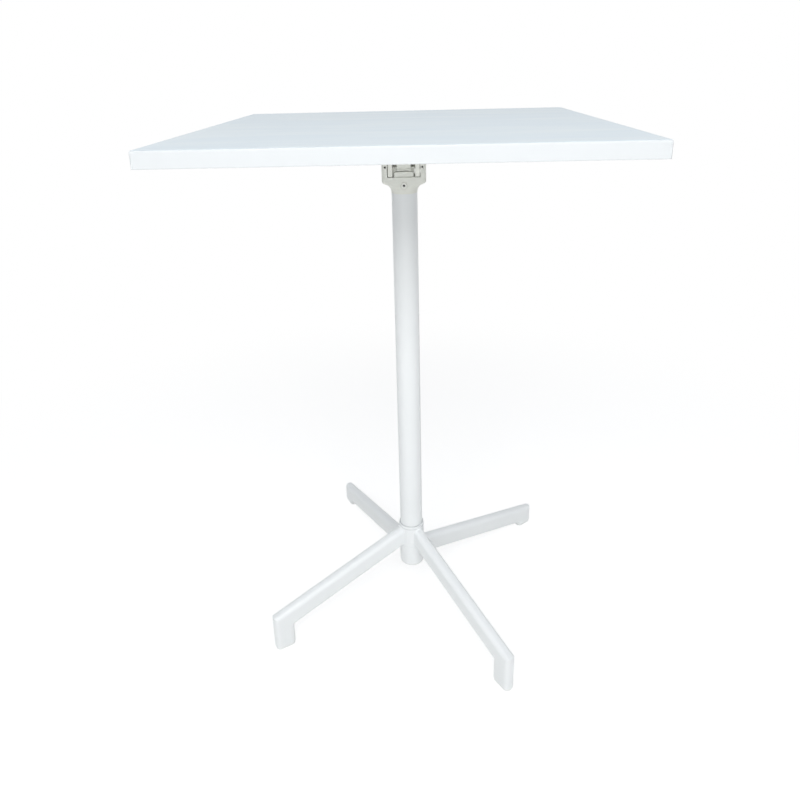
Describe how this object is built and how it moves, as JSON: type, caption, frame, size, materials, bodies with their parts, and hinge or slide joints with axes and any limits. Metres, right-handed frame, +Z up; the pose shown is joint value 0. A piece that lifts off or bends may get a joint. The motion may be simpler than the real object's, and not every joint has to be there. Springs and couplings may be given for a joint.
{
  "type": "folding high table",
  "caption": "Folding high table: thin square steel top on a latched tilting head, slim round column and splayed flat-tube legs.",
  "frame": {"origin": "on the floor, under the column's axis, which is the middle of the top", "axes": "+Z up along the column, -Y towards the front, where the latch lever is, +X to the right seen from there"},
  "size_m": [0.713, 0.713, 1.04],
  "materials": {
    "white_powder_coat": "satin",
    "coated_casting": "satin",
    "zinc_steel": "satin",
    "spring_steel": "satin",
    "nylon": "satin",
    "white_plastic": "matte",
    "rubber": "matte"
  },
  "bodies": {
    "stand": {"column_tube": "white_powder_coat", "column_collar": "white_powder_coat", "upper_leg_sleeve": "white_powder_coat", "lower_leg_sleeve": "white_powder_coat", "front_left_arm": "white_powder_coat", "front_left_post": "white_powder_coat", "front_right_arm": "white_powder_coat", "front_right_post": "white_powder_coat", "rear_left_arm": "white_powder_coat", "rear_left_post": "white_powder_coat", "rear_right_arm": "white_powder_coat", "rear_right_post": "white_powder_coat", "head_casting": "coated_casting", "head_screw": "coated_casting", "pivot_pin": "zinc_steel", "stop_pin": "zinc_steel", "pin_lock_screws": "zinc_steel", "clamp_bolt": "zinc_steel", "clamp_nut_plate": "zinc_steel", "column_spigot": "zinc_steel", "pin_rings": "zinc_steel", "pivot_washers": "nylon", "base_cap": "white_plastic", "front_left_foot_cap": "white_plastic", "front_right_foot_cap": "white_plastic", "rear_left_foot_cap": "white_plastic", "rear_right_foot_cap": "white_plastic", "cheek_bumpers": "rubber"},
    "top": {"top_tray": "white_powder_coat", "front_rail": "white_powder_coat", "rear_rail": "white_powder_coat", "left_rib": "white_powder_coat", "right_rib": "white_powder_coat", "tilt_bracket": "coated_casting", "bracket_screws": "zinc_steel", "bracket_nuts": "zinc_steel", "ear_bushings": "nylon", "pivot_spacer": "nylon", "lever_pin": "zinc_steel", "lever_spacers": "nylon", "lever_spring": "spring_steel", "spring_screw": "zinc_steel"},
    "lever": {"latch_lever": "coated_casting"}
  },
  "joints": [
    {"name": "top_tilt", "type": "hinge", "parent": "stand", "child": "top", "pos_m": [0, 0.008, 0.965], "axis": [-1, 0, 0], "range_deg": [0, 90]},
    {"name": "lever_push", "type": "hinge", "parent": "top", "child": "lever", "pos_m": [0, -0.0215, 1.002], "axis": [1, 0, 0], "range_deg": [0, 15], "stiffness_Nm_per_rad": 0.6, "springref_deg": -20.05, "deforming": ["lever_spring"]}
  ]
}
